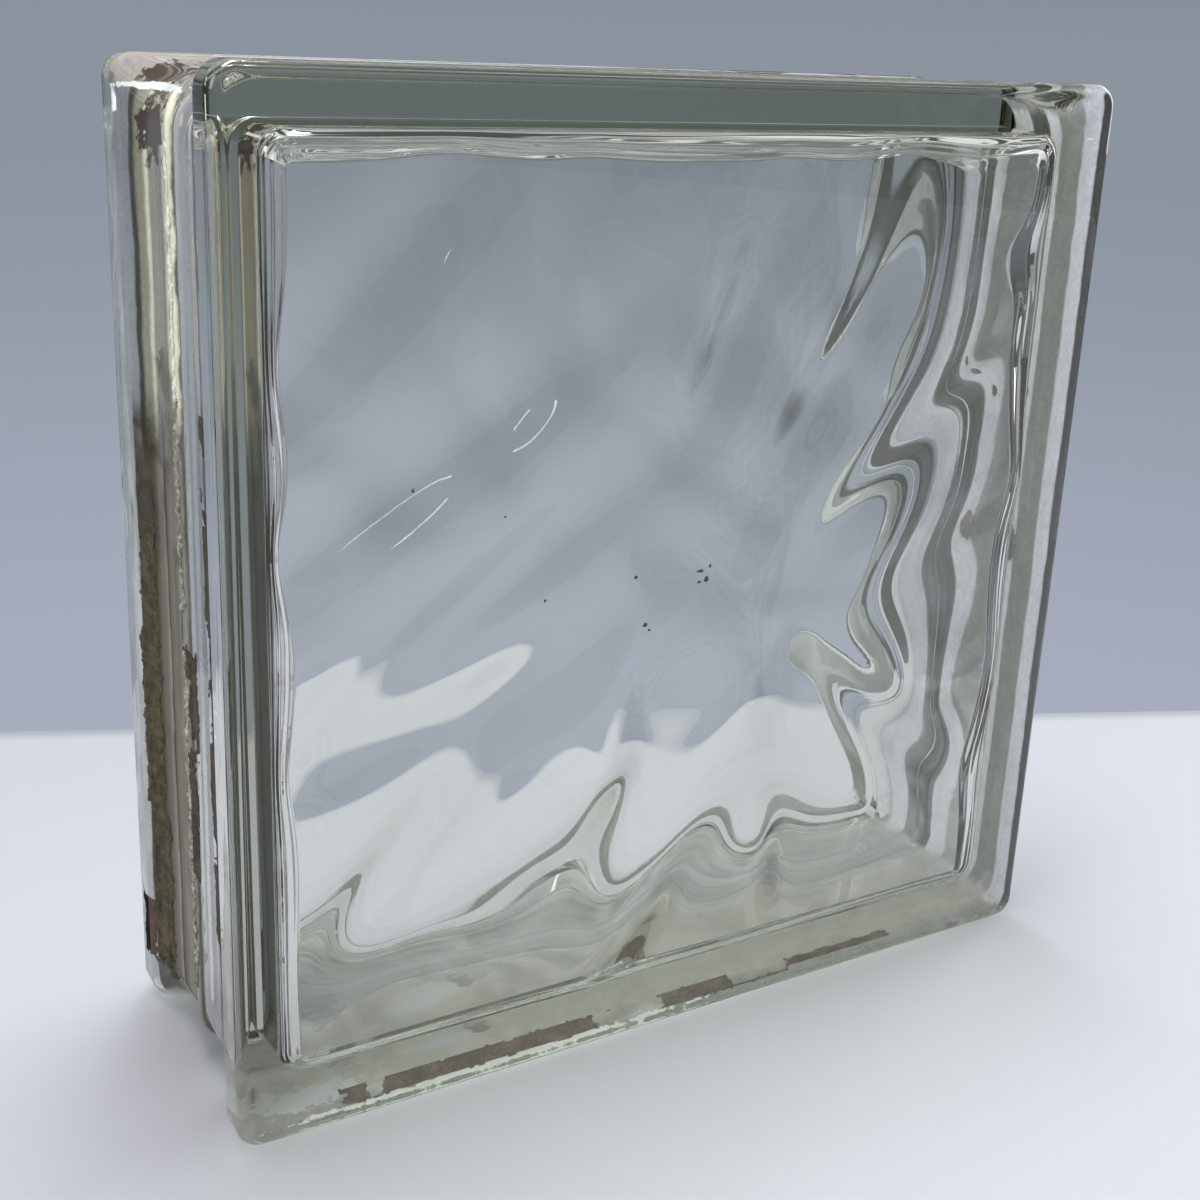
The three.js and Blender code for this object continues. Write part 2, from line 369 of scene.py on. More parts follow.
def wallStations():
    # The drafted wall, and the inner bead that ends it at the seam.
    form = blockForm
    level, seamInset, _ = cavityPlaces()
    lean = math.tan(form["draft"])
    wallFoot = level + form["fillet"] + form["wallGap"]
    wallTop = -form["innerBeadHalf"]
    stations = []
    for step in range(form["wallSteps"]):
        y = wallFoot + (wallTop - wallFoot) * step / form["wallSteps"]
        stations.append((y, seamInset - y * lean, form["cavityCorner"]))
    beadSteps = form["innerBeadSteps"]
    for step in range(beadSteps + 1):
        away = form["innerBeadHalf"] * math.cos(step / beadSteps * math.pi / 2)
        bead = beadRise(away, form["innerBeadHeight"], form["innerBeadHalf"])
        inset = seamInset + away * lean + bead
        stations.append((0 if step == beadSteps else -away, inset, form["cavityCorner"]))
    return stations


def cavitySkin():
    bm = bmesh.new()
    layer = bm.verts.layers.float.new("along")
    foot = wavyPane(bm, layer)
    top = growFillet(bm, foot, layer)
    growRings(bm, top, layer, wallStations())
    mirrorHalf(bm)
    bmesh.ops.reverse_faces(bm, faces=bm.faces[:])
    return bm


def makePiece(name, bm, material):
    mesh = bpy.data.meshes.new(name)
    bm.to_mesh(mesh)
    bm.free()
    mesh.shade_smooth()
    piece = bpy.data.objects.new(name, mesh)
    bpy.context.scene.collection.objects.link(piece)
    mesh.materials.append(material)
    return piece


def newMaterial(name):
    material = bpy.data.materials.new(name)
    material.use_nodes = True
    tree = material.node_tree
    return material, tree, tree.nodes["Principled BSDF"]


def feed(tree, node, inputs):
    # Gives inputs, by name or number, a value each or the output of another node. Returns the outputs.
    for key, value in inputs.items():
        if isinstance(value, bpy.types.NodeSocket):
            tree.links.new(value, node.inputs[key])
        else:
            node.inputs[key].default_value = value
    return node.outputs


def newNode(tree, kind, inputs=None):
    return feed(tree, tree.nodes.new("ShaderNode" + kind), inputs or {})


def mathNode(tree, operation, *values):
    node = tree.nodes.new("ShaderNodeMath")
    node.operation = operation
    return feed(tree, node, dict(enumerate(values)))[0]


def vectorNode(tree, operation, *values):
    node = tree.nodes.new("ShaderNodeVectorMath")
    node.operation = operation
    return feed(tree, node, dict(enumerate(values)))["Value"]


def mixNode(tree, kind, factor, first, second, blend="MIX"):
    node = tree.nodes.new("ShaderNodeMix")
    node.data_type = kind
    if kind == "RGBA":
        node.blend_type = blend
    firstAt, secondAt, end = {"RGBA": (6, 7, 2), "FLOAT": (2, 3, 0)}[kind]
    return feed(tree, node, {0: factor, firstAt: first, secondAt: second})[end]


def rangeNode(tree, value, low, high, toLow=0.0, toHigh=1.0, kind="SMOOTHSTEP"):
    node = tree.nodes.new("ShaderNodeMapRange")
    node.interpolation_type = kind
    inputs = {"Value": value, "From Min": low, "From Max": high, "To Min": toLow, "To Max": toHigh}
    return feed(tree, node, inputs)[0]


def noiseNode(tree, vector, scale, detail, roughness=0.5):
    inputs = {"Vector": vector, "Scale": scale, "Detail": detail, "Roughness": roughness}
    return newNode(tree, "TexNoise", inputs)[0]


def rampNode(tree, value, stops):
    node = tree.nodes.new("ShaderNodeValToRGB")
    elements = node.color_ramp.elements
    while len(elements) < len(stops):
        elements.new(1)
    for element, (at, colour) in zip(elements, stops):
        element.position = at
        element.color = colour
    return feed(tree, node, {0: value})


def mixShader(tree, factor, first, second):
    return newNode(tree, "MixShader", {0: factor, 1: first, 2: second})[0]


def glassMaterial():
    material, tree, shader = newMaterial("clear_glass")
    look = {"Base Color": (0.99, 1.0, 0.995, 1), "Roughness": 0.0, "IOR": 1.52, "Transmission Weight": 1}
    clear = feed(tree, shader, look)[0]
    perMetre = 20
    body = newNode(tree, "VolumeAbsorption", {"Color": (0.56, 0.585, 0.48, 1), "Density": perMetre})[0]
    # Lamp light passes the block, so it throws the light shadow of a glass block.
    lit = newNode(tree, "BsdfTransparent", {"Color": (0.86, 0.88, 0.87, 1)})[0]
    both = mixShader(tree, newNode(tree, "LightPath")["Is Shadow Ray"], clear, lit)
    feed(tree, tree.nodes["Material Output"], {"Surface": both, "Volume": body})
    return material


print("glass body")
outer = outerSkin()
inner = cavitySkin()
innerMesh = bpy.data.meshes.new("cavity")
inner.to_mesh(innerMesh)
inner.free()
outer.from_mesh(innerMesh)
bpy.data.meshes.remove(innerMesh)
glass = makePiece("glass_body", outer, glassMaterial())
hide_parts("front_half", "back_half")
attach(glass, "root")

# The film below carries the edge coating's colours, and among them painted shade and a painted highlight.
print("edge coat")


def channelInset(y):
    # How far the channel's surface stands in from the rim, at a depth.
    away = -abs(y)
    stations = outsideStations()
    for (firstY, firstInset, _), (nextY, nextInset, _) in zip(stations, stations[1:]):
        if firstY <= away <= nextY:
            share = (away - firstY) / max(nextY - firstY, 1e-9)
            return firstInset + (nextInset - firstInset) * share
    return blockForm["faceEdge"]


def onSide(side, along, y, lift):
    # A point over one side of the block, along being Z on the left and right, and X on the top and
    # bottom. Past a corner's start it follows the corner round.
    step = 0.2 * mm
    slope = (channelInset(y + step) - channelInset(y - step)) / (2 * step)
    tilt = 1 / math.sqrt(1 + slope * slope)
    inset = channelInset(y)
    cornerGain = blockForm["channelCorner"] - blockForm["cornerRadius"]
    radius = blockForm["cornerRadius"] + cornerGain * inset / blockForm["channelDepth"]
    if side in ("left", "right"):
        along -= halfHeight
    straight = halfHeight - inset - radius
    turn = max(0, min((abs(along) - straight) / radius, math.pi / 2))
    rise = lift * tilt
    run = min(abs(along), straight) + (radius + rise) * math.sin(turn)
    out = straight + (radius + rise) * math.cos(turn)
    run = math.copysign(run, along)
    y += lift * slope * tilt
    if side == "left":
        return Vector((-out, y, run + halfHeight))
    if side == "right":
        return Vector((out, y, run + halfHeight))
    if side == "bottom":
        return Vector((run, y, halfHeight - out))
    return Vector((run, y, halfHeight + out))


def filmRing(name, offset, material):
    # A closed band that follows the rim and the channel, a hair inside the glass.
    bm = bmesh.new()
    layer = bm.verts.layers.float.new("along")
    bmesh.ops.create_circle(bm, segments=4 * blockForm["perSide"], radius=1)
    bm.verts.ensure_lookup_table()
    for index, vert in enumerate(bm.verts):
        vert[layer] = index / blockForm["perSide"]
    rimStart = -halfDepth + blockForm["faceEdge"]
    stations = [(y, inset + offset, radius) for y, inset, radius in outsideStations() if y > rimStart]
    placeRing(bm.verts, layer, stations[0])
    growRings(bm, bm.edges[:], layer, stations[1:])
    mirrorHalf(bm)
    piece = makePiece(name, bm, material)
    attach(piece, "root")
    return piece


streakLook = {  # how fine each pattern is along X, Y and Z, and its detail
    "Streak": ((14, 420, 14), 4),
    "Mottle": ((70, 110, 70), 7),
    "Grain": ((900, 900, 900), 3),
}


def streakGroup():
    # Streaks that run along the channel, cloudy mottling and fine grain, all from 0 to 1.
    group = bpy.data.node_groups.new("channel_streaks", "ShaderNodeTree")
    group.interface.new_socket("Vector", in_out="INPUT", socket_type="NodeSocketVector")
    for name in streakLook:
        group.interface.new_socket(name, in_out="OUTPUT", socket_type="NodeSocketFloat")
    start = group.nodes.new("NodeGroupInput").outputs[0]
    end = group.nodes.new("NodeGroupOutput")
    for name, (stretch, detail) in streakLook.items():
        place = newNode(group, "Mapping", {"Vector": start, "Scale": stretch})[0]
        texture = noiseNode(group, place, 1, detail, 0.6)
        feed(group, end, {name: rangeNode(group, texture, 0.3, 0.7, kind="LINEAR")})
    return group


streaks = streakGroup()


def streakNodes(tree):
    # The place on the piece, and the streaks, mottling and grain there.
    place = newNode(tree, "TexCoord")["Object"]
    texture = tree.nodes.new("ShaderNodeGroup")
    texture.node_tree = streaks
    return place, feed(tree, texture, {0: place})


coatAndPaintedLightLook = {
    "reach": 38,  # millimetres each way from the seam that the bands below cover
    "lowTo": (150 * mm, 172 * mm),  # the left side changes from leftLow to left between these heights
    "inGlass": 0.05 * mm,  # how far the film lies under the surface
    "slow": (35, 6, 0.65),  # scale, detail and roughness of the noise that moves and wears the bands
    "torn": (260, 5, 0.65),  # and of the noise at the edges of the stains
    "drift": 2.2 * mm,  # how far the bands wander
    "sideDrift": 0.35,  # of it, on the left and right
    "cornerFade": 3 * mm,
    "topStreaks": 0.15,  # of the left side's, on the other sides
    "streakShade": (0.72, 1.22),
    "mottleShade": (0.86, 1.12),
    "grainShade": (0.8, 1.17),
    "wear": (0.7, 1.25),
    "through": 0.45,  # how much of the coating's light comes through it
    # Here a spot may be a stain, a bare patch or the painted highlight below.
    "ragged": 0.55,  # of a stain's size
    "spotEdge": (0.85, 1.05),  # of a stain's size, where it fades out
    # depth in millimetres from the seam, then the colour and how much of it covers the glass
    "left": (
        # the near-black band from -25 to -16.2 mm is painted shade that darkens the left fillet seen through
        # the front pane
        (-26.5, (0.05, 0.05, 0.045, 0.0)), (-25, (0.05, 0.05, 0.045, 1)), (-16.2, (0.06, 0.06, 0.055, 1)),
        (-15, (0.60, 0.60, 0.66, 0.3)), (-8, (0.60, 0.60, 0.66, 0.4)),
        (-3.6, (0.60, 0.60, 0.66, 0.7)), (-2.7, (0.12, 0.12, 0.10, 1)),
        (-1.9, (0.95, 0.93, 0.78, 1)), (3.0, (0.95, 0.93, 0.77, 1)), (3.8, (0.13, 0.12, 0.09, 1)),
        (4.9, (0.85, 0.83, 0.72, 1)), (6.1, (0.72, 0.69, 0.6, 1)), (7.2, (0.38, 0.35, 0.29, 1)),
        (16, (0.46, 0.42, 0.35, 1)), (17.3, (0.86, 0.83, 0.74, 1)), (18.3, (0.80, 0.77, 0.67, 1)),
        # painted shade at the shoulder's start: the near-black stretch from 23.2 to 24.3 mm
        (19.3, (0.44, 0.43, 0.34, 1)), (21.8, (0.38, 0.38, 0.30, 1)), (23.2, (0.09, 0.09, 0.08, 1)),
        (24.3, (0.11, 0.11, 0.10, 1)), (25.1, (0.52, 0.54, 0.62, 0.5)), (32, (0.52, 0.54, 0.62, 0.5)),
        (36.5, (0.36, 0.38, 0.42, 0.4)),
    ),
    "leftLow": (
        # the near-black band from -25 to -16.2 mm is painted shade that darkens the left fillet seen through
        # the front pane
        (-26.5, (0.05, 0.05, 0.045, 0.0)), (-25, (0.05, 0.05, 0.045, 1)), (-16.2, (0.06, 0.06, 0.055, 1)),
        (-15, (0.60, 0.60, 0.66, 0.3)), (-8, (0.60, 0.60, 0.66, 0.4)),
        (-3.6, (0.56, 0.56, 0.61, 0.7)), (-2.5, (0.10, 0.09, 0.07, 1)),
        (-1.4, (0.34, 0.32, 0.27, 1)), (2.6, (0.34, 0.32, 0.27, 1)), (3.6, (0.12, 0.11, 0.09, 1)),
        (5, (0.26, 0.25, 0.21, 1)), (9, (0.27, 0.26, 0.22, 1)), (12, (0.19, 0.18, 0.15, 1)),
        (13.8, (0.07, 0.06, 0.045, 1)), (14.8, (0.26, 0.23, 0.21, 1)), (17.5, (0.19, 0.165, 0.145, 1)),
        (19.6, (0.11, 0.095, 0.075, 1)), (20.8, (0.075, 0.066, 0.042, 1)), (26.6, (0.065, 0.058, 0.036, 1)),
        (27.6, (0.05, 0.045, 0.028, 1)), (28.3, (0.60, 0.61, 0.67, 0.5)), (32, (0.54, 0.56, 0.64, 0.5)),
        (36.5, (0.36, 0.38, 0.42, 0.4)),
    ),
    "right": (
        # the dark band from -38 to -31.2 mm is painted shade, which darkens the view out through the right
        # front edge
        (-38, (0.10, 0.105, 0.105, 0.85)), (-31.2, (0.10, 0.105, 0.105, 0.9)),
        (-30.2, (0.78, 0.78, 0.87, 0.9)), (-25, (0.78, 0.78, 0.87, 0.9)), (-24.2, (0.33, 0.345, 0.335, 0.85)),
        (-13.8, (0.34, 0.355, 0.345, 0.85)), (-12.8, (0.84, 0.84, 0.92, 0.7)), (-6, (0.86, 0.86, 0.94, 0.85)),
        (-5.2, (0.17, 0.18, 0.17, 0.9)), (5.2, (0.17, 0.18, 0.17, 0.9)), (6, (0.86, 0.86, 0.94, 0.85)),
        (17, (0.75, 0.75, 0.84, 0.6)), (23, (0.62, 0.62, 0.7, 0.0)),
    ),
    "bottom": (
        (-36, (0.40, 0.40, 0.40, 0.2)), (-30, (0.42, 0.42, 0.42, 0.5)), (-23, (0.64, 0.61, 0.595, 0.95)),
        (-10, (0.65, 0.63, 0.615, 0.9)), (-3, (0.68, 0.67, 0.68, 0.9)), (3, (0.60, 0.595, 0.60, 0.9)),
        (12, (0.64, 0.635, 0.645, 0.85)), (25, (0.64, 0.635, 0.645, 0.7)), (36, (0.60, 0.60, 0.60, 0.0)),
    ),
    "top": (
        (-25, (0.6, 0.6, 0.6, 0.0)), (-8, (0.6, 0.6, 0.6, 0.05)), (-4, (0.5, 0.5, 0.46, 0.3)),
        (4, (0.5, 0.5, 0.46, 0.3)), (8, (0.6, 0.6, 0.6, 0.12)), (25, (0.6, 0.6, 0.6, 0.05)),
    ),
    # stains, bare patches and one painted highlight: place and half sizes in millimetres, then the colour and
    # cover
    "spots": (
        ((-104, 24, 238), (20, 15, 7), (0.50, 0.45, 0.41, 0.95)),  # pale coat round the corner
        ((-117, 13, 225), (7, 8, 8), (0.11, 0.085, 0.075, 1)),
        ((-109, 17, 237), (9, 9, 7), (0.12, 0.09, 0.08, 1)),
        ((-114, 14, 233), (14, 17, 0.8), (0.95, 0.95, 0.97, 1)),  # a scratched line
        # painted highlight: a pure white line along the bottom edge stands in for a glint
        ((-52, -30.5, 0.5), (56, 1.6, 3), (1.0, 1.0, 1.0, 1)),  # white line along the bottom edge
        ((-116, 6.5, 35), (5, 3.5, 15), (0.07, 0.06, 0.045, 1)),
        ((-88, 3, 4), (5, 13, 4), (0.50, 0.50, 0.56, 0.9)),  # bare, paler stretches of the bottom
        ((-61, -14, 4), (10, 3.5, 4), (0.70, 0.70, 0.74, 0.95)),
        ((-52, -11, 4), (3, 4.5, 4), (0.40, 0.39, 0.38, 0.95)),
        ((-101, -22, 4), (13, 5, 4), (0.74, 0.74, 0.79, 0.95)),
        ((-116, 21, 64), (3, 2.5, 5), (0.05, 0.04, 0.035, 1)),  # damp stains low on the left
        ((-116, 11, 53), (3, 5, 4), (0.06, 0.055, 0.05, 1)),
        ((-116, 12, 23), (3, 4, 9), (0.13, 0.09, 0.06, 1)),
        ((116, -10, 157), (3, 1.1, 1.3), (0.22, 0.22, 0.21, 1)),
        ((116, -11, 114), (3, 3, 5), (0.26, 0.25, 0.24, 1)),
        ((116, -3.5, 100), (3, 1.6, 2.4), (0.16, 0.15, 0.14, 1)),
    ),
}


def coatSides(tree, split, drift):
    # How far a point is on the left or right, on the left, on the right, and whether it is low.
    # The sides blend at the corners.
    level = mathNode(tree, "SUBTRACT", split["Z"], halfHeight)
    sideways = mathNode(tree, "ABSOLUTE", split["X"])
    upright = mathNode(tree, "ABSOLUTE", level)
    lean = mathNode(tree, "ADD", mathNode(tree, "SUBTRACT", sideways, upright), drift)
    beside = rangeNode(tree, lean, -coatAndPaintedLightLook["cornerFade"], coatAndPaintedLightLook["cornerFade"])
    leftward = mathNode(tree, "LESS_THAN", split["X"], 0)
    left = mathNode(tree, "MULTIPLY", beside, leftward)
    right = mathNode(tree, "MULTIPLY", beside, mathNode(tree, "SUBTRACT", 1, leftward))
    low = mathNode(tree, "LESS_THAN", level, 0)
    return beside, left, right, low


def coatAndPaintedLightBands(tree, split, drift, sides):
    # Colour and cover of the bands, painted shade among them, which wander along the channel, less on the
    # left and right.
    beside, left, right, low = sides
    settled = mixNode(tree, "FLOAT", beside, 1.0, coatAndPaintedLightLook["sideDrift"])
    wander = mathNode(tree, "MULTIPLY", drift, settled)
    depth = mathNode(tree, "ADD", split["Y"], wander)
    reach = coatAndPaintedLightLook["reach"] * mm
    position = rangeNode(tree, depth, -reach, reach, kind="LINEAR")

    def bands(side):
        stops = [((at * mm + reach) / (2 * reach), colour) for at, colour in coatAndPaintedLightLook[side]]
        return rampNode(tree, position, stops)

    def blend(share, first, second):
        colour = mixNode(tree, "RGBA", share, first[0], second[0])
        return colour, mixNode(tree, "FLOAT", share, first[1], second[1])

    rising = mathNode(tree, "ADD", split["Z"], mathNode(tree, "MULTIPLY", drift, 5))
    high = rangeNode(tree, rising, *coatAndPaintedLightLook["lowTo"])
    onLeft = blend(high, bands("leftLow"), bands("left"))
    level = blend(low, bands("top"), bands("bottom"))
    return blend(right, blend(left, level, onLeft), bands("right"))


def coatShade(tree, texture, beside, left):
    # Streaks, strongest on the left, mottling, and on the left and right fine grain.
    strength = mixNode(tree, "FLOAT", left, coatAndPaintedLightLook["topStreaks"], 1.0)
    streaked = mixNode(tree, "FLOAT", texture["Streak"], *coatAndPaintedLightLook["streakShade"])
    shade = mixNode(tree, "FLOAT", strength, 1.0, streaked)
    mottled = mixNode(tree, "FLOAT", texture["Mottle"], *coatAndPaintedLightLook["mottleShade"])
    shade = mathNode(tree, "MULTIPLY", shade, mottled)
    speckle = mixNode(tree, "FLOAT", texture["Grain"], *coatAndPaintedLightLook["grainShade"])
    return mathNode(tree, "MULTIPLY", shade, mixNode(tree, "FLOAT", beside, 1.0, speckle))


def spotShare(tree, place, raggedness, at, sizes):
    # 1 inside a ragged ellipsoid and 0 outside it.
    away = tree.nodes.new("ShaderNodeMapping")
    away.vector_type = "TEXTURE"
    inputs = {"Vector": place, "Location": Vector(at) * mm, "Scale": Vector(sizes) * mm}
    size = vectorNode(tree, "LENGTH", feed(tree, away, inputs)[0])
    spreading = mathNode(tree, "ADD", size, raggedness)
    return rangeNode(tree, spreading, *coatAndPaintedLightLook["spotEdge"], 1.0, 0.0)


# The coating's colours, with painted shade and a painted highlight among them.
def coatAndPaintedLightMaterial():
    material, tree, shader = newMaterial("edge_coat")
    place, texture = streakNodes(tree)
    split = newNode(tree, "SeparateXYZ", {0: place})
    slow = noiseNode(tree, place, *coatAndPaintedLightLook["slow"])
    drift = rangeNode(tree, slow, 0.25, 0.75, -coatAndPaintedLightLook["drift"], coatAndPaintedLightLook["drift"])
    sides = coatSides(tree, split, drift)
    beside, left = sides[:2]
    plain, cover = coatAndPaintedLightBands(tree, split, drift, sides)
    shade = coatShade(tree, texture, beside, left)
    colour = mixNode(tree, "RGBA", 1.0, plain, shade, "MULTIPLY")
    worn = rangeNode(tree, slow, 0.3, 0.7, *coatAndPaintedLightLook["wear"])
    cover = mathNode(tree, "MULTIPLY", cover, mixNode(tree, "FLOAT", left, worn, 1.0))

    torn = noiseNode(tree, place, *coatAndPaintedLightLook["torn"])
    raggedness = rangeNode(tree, torn, 0.25, 0.75, -coatAndPaintedLightLook["ragged"], coatAndPaintedLightLook["ragged"])
    for at, sizes, (red, green, blue, amount) in coatAndPaintedLightLook["spots"]:
        inside = spotShare(tree, place, raggedness, at, sizes)
        colour = mixNode(tree, "RGBA", inside, colour, (red, green, blue, 1))
        plain = mixNode(tree, "RGBA", inside, plain, (red, green, blue, 1))
        cover = mixNode(tree, "FLOAT", inside, cover, amount)
    cover = mathNode(tree, "MINIMUM", cover, 1.0)

    dull = feed(tree, shader, {"Base Color": colour, "Roughness": 0.7, "Specular IOR Level": 0.0})[0]
    through = newNode(tree, "BsdfTranslucent", {"Color": plain})[0]
    both = mixShader(tree, coatAndPaintedLightLook["through"], dull, through)
    clear = newNode(tree, "BsdfTransparent")[0]
    feed(tree, tree.nodes["Material Output"], {"Surface": mixShader(tree, cover, clear, both)})
    return material


# The film's colours are the edge coating's, with painted shade and a painted highlight among them.
coat = filmRing("coat_and_painted_light_film", coatAndPaintedLightLook["inGlass"], coatAndPaintedLightMaterial())

print("residue")


def rough(along, y, scale, seed):
    # Smooth noise from -1 to 1 over a side, for a wavelength in millimetres.
    return noise.noise(Vector((along / mm / scale, y / mm / scale, seed)))


residueUsual = {  # what a crust's own form doesn't state. Lengths are in millimetres.
    "gaps": (),
    "taper": 1,  # how many times longer than its sides a patch's ends run out
    "cell": 0.6,  # of the mesh
    "sunk": 0.06,  # how deep its inside lies in the glass
    "margin": 2,  # room for the ragged edge
    "least": 0.05,  # how far it stands out at its edge
    "jitter": 0.25,  # how far its points are moved about, as a share of a cell
    "jitterLength": 0.7,
    "jitterSeeds": (9, 13),
    # wavelength, share and what is added to the seed
    "edgeNoise": ((7, 1, 0), (1.9, 0.6, 5), (0.9, 0.45, 6)),
    "bumpNoise": ((3, 1, 20), (1.1, 0.7, 30)),
}


def layeredRough(form, layers, along, y):
    # Noise of several wavelengths, added up.
    return sum(share * rough(along, y, length, form["seed"] + more) for length, share, more in form[layers])


def insideBox(form, box, along, y):
    # How far a point is inside a patch or gap.
    low, high, near, far = (value * mm for value in box)
    ends = min(along - low, high - along) / form["taper"]
    return min(ends, y - near, far - y)


def crustReach(form, along, y):
    # How far a point is inside the ragged edge of the crust.
    edge = layeredRough(form, "edgeNoise", along, y)
    edge *= form["ragged"]
    wide = max(insideBox(form, patch, along, y) for patch in form["patches"]) + edge * mm
    for gap in form["gaps"]:
        wide = min(wide, -insideBox(form, gap, along, y) + edge * mm)
    return wide


def crustGrid(form):
    # A flat grid over the patches, cut to their ragged edge.
    patches, margin, cell = form["patches"], form["margin"], form["cell"]
    lowAlong = min(patch[0] for patch in patches) - margin
    highAlong = max(patch[1] for patch in patches) + margin
    lowDepth = min(patch[2] for patch in patches) - margin
    highDepth = max(patch[3] for patch in patches) + margin
    bm = bmesh.new()
    columns = max(2, round((highAlong - lowAlong) / cell))
    rows = max(2, round((highDepth - lowDepth) / cell))
    bmesh.ops.create_grid(bm, x_segments=columns, y_segments=rows, size=0.5)
    bmesh.ops.scale(bm, verts=bm.verts[:], vec=((highAlong - lowAlong) * mm, (highDepth - lowDepth) * mm, 1))
    middleAt = Vector(((lowAlong + highAlong) / 2, (lowDepth + highDepth) / 2, 0)) * mm
    bmesh.ops.translate(bm, verts=bm.verts[:], vec=middleAt)
    dropped = [vert for vert in bm.verts if crustReach(form, vert.co.x, vert.co.y) < 0]
    bmesh.ops.delete(bm, geom=dropped, context="VERTS")
    return bm


def residueShell(name, form):
    # A ragged crust on one side. Patches and gaps are from and to along the side, then in depth.
    form = {**residueUsual, **form}
    side, seed, thickest = form["side"], form["seed"], form["thick"]
    bm = crustGrid(form)
    alongLayer = bm.verts.layers.float.new("along")
    depthLayer = bm.verts.layers.float.new("depth")
    jitter = form["jitter"] * form["cell"] * mm
    length = form["jitterLength"]
    first, second = form["jitterSeeds"]
    for vert in bm.verts:
        vert[alongLayer] = vert.co.x + jitter * rough(vert.co.x, vert.co.y, length, seed + first)
        vert[depthLayer] = vert.co.y + jitter * rough(vert.co.x, vert.co.y, length, seed + second)
        vert.co = onSide(side, vert[alongLayer], vert[depthLayer], -form["sunk"] * mm)
    grown = bmesh.ops.extrude_face_region(bm, geom=bm.faces[:], use_keep_orig=True)["geom"]
    for vert in ofKind(grown, bmesh.types.BMVert):
        along, y = vert[alongLayer], vert[depthLayer]
        thick = min(1, crustReach(form, along, y) / (thickest * 2 * mm)) * thickest
        bumps = 1 + form["bumps"] * layeredRough(form, "bumpNoise", along, y)
        place = onSide(side, along, y, max(form["least"], thick * bumps) * mm)
        vert.co = [max(low, min(value, high)) for value, low, high in zip(place, cadLow, cadHigh)]
    bmesh.ops.recalc_face_normals(bm, faces=bm.faces[:])
    piece = makePiece(name, bm, form["material"])
    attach(piece, "root")
    return piece


def residueMaterial(name, dark, pale, scale):
    material, tree, shader = newMaterial(name)
    place, texture = streakNodes(tree)
    blotch = noiseNode(tree, place, scale, 8, 0.7)
    share = rangeNode(tree, blotch, 0.35, 0.68)
    share = mixNode(tree, "FLOAT", 0.35, share, texture["Streak"])
    colour = mixNode(tree, "RGBA", share, (*dark, 1), (*pale, 1))
    shade = mixNode(tree, "FLOAT", texture["Grain"], 0.75, 1.2)
    colour = mixNode(tree, "RGBA", 1.0, colour, shade, "MULTIPLY")
    bump = newNode(tree, "Bump", {"Strength": 0.5, "Distance": 0.2 * mm, "Height": texture["Grain"]})[0]
    look = {"Base Color": colour, "Roughness": 0.9, "Specular IOR Level": 0.25, "Normal": bump}
    feed(tree, shader, look)
    return material


soil = residueMaterial("dry_soil", (0.028, 0.024, 0.012), (0.115, 0.098, 0.058), 260)
rust = residueMaterial("red_soil", (0.045, 0.038, 0.027), (0.12, 0.078, 0.058), 240)
grit = residueMaterial("mortar_grit", (0.05, 0.045, 0.03), (0.52, 0.50, 0.42), 800)
crust = residueMaterial("pale_mortar", (0.40, 0.38, 0.28), (0.95, 0.93, 0.78), 500)
flake = residueMaterial("old_coating", (0.030, 0.026, 0.018), (0.10, 0.082, 0.06), 220)
mauve = residueMaterial("dried_stain", (0.10, 0.08, 0.07), (0.24, 0.20, 0.18), 160)

dustLook = {
    "bands": (  # depth in millimetres and colour of the dust over the lower left side
        (3.4, (0.09, 0.085, 0.066)), (5, (0.18, 0.175, 0.14)), (9, (0.165, 0.16, 0.13)),
        (12, (0.13, 0.125, 0.10)), (13.8, (0.05, 0.045, 0.032)), (14.8, (0.21, 0.19, 0.165)),
        (17.5, (0.15, 0.13, 0.11)), (19.6, (0.09, 0.078, 0.06)), (20.8, (0.06, 0.055, 0.035)),
        (27.6, (0.055, 0.05, 0.03)),
    ),
    "drift": 0.7 * mm,
    "shade": (0.75, 1.25),
    "fade": (128 * mm, 172 * mm),  # it fades out upward between these heights
    "fadeDrift": 22 * mm,
}


def dustMaterial():
    material, tree, shader = newMaterial("channel_dust")
    look = dustLook
    place, texture = streakNodes(tree)
    split = newNode(tree, "SeparateXYZ", {0: place})
    drift = mixNode(tree, "FLOAT", texture["Mottle"], -look["drift"], look["drift"])
    depth = mathNode(tree, "ADD", split["Y"], drift)
    near, far = look["bands"][0][0], look["bands"][-1][0]
    position = rangeNode(tree, depth, near * mm, far * mm, kind="LINEAR")
    stops = [((at - near) / (far - near), (*colour, 1)) for at, colour in look["bands"]]
    colour = rampNode(tree, position, stops)[0]
    shade = mixNode(tree, "FLOAT", texture["Mottle"], *look["shade"])
    streaked = mixNode(tree, "FLOAT", texture["Streak"], *look["shade"])
    shade = mathNode(tree, "MULTIPLY", shade, streaked)
    colour = mixNode(tree, "RGBA", 1.0, colour, shade, "MULTIPLY")
    dull = feed(tree, shader, {"Base Color": colour, "Roughness": 0.75, "Specular IOR Level": 0.3})[0]
    slow = noiseNode(tree, place, 60, 6)
    shift = rangeNode(tree, slow, 0.3, 0.7, -look["fadeDrift"], look["fadeDrift"])
    rising = mathNode(tree, "ADD", split["Z"], shift)
    fade = rangeNode(tree, rising, *look["fade"])
    both = mixShader(tree, fade, dull, newNode(tree, "BsdfTransparent")[0])
    feed(tree, tree.nodes["Material Output"], {"Surface": both})
    return material


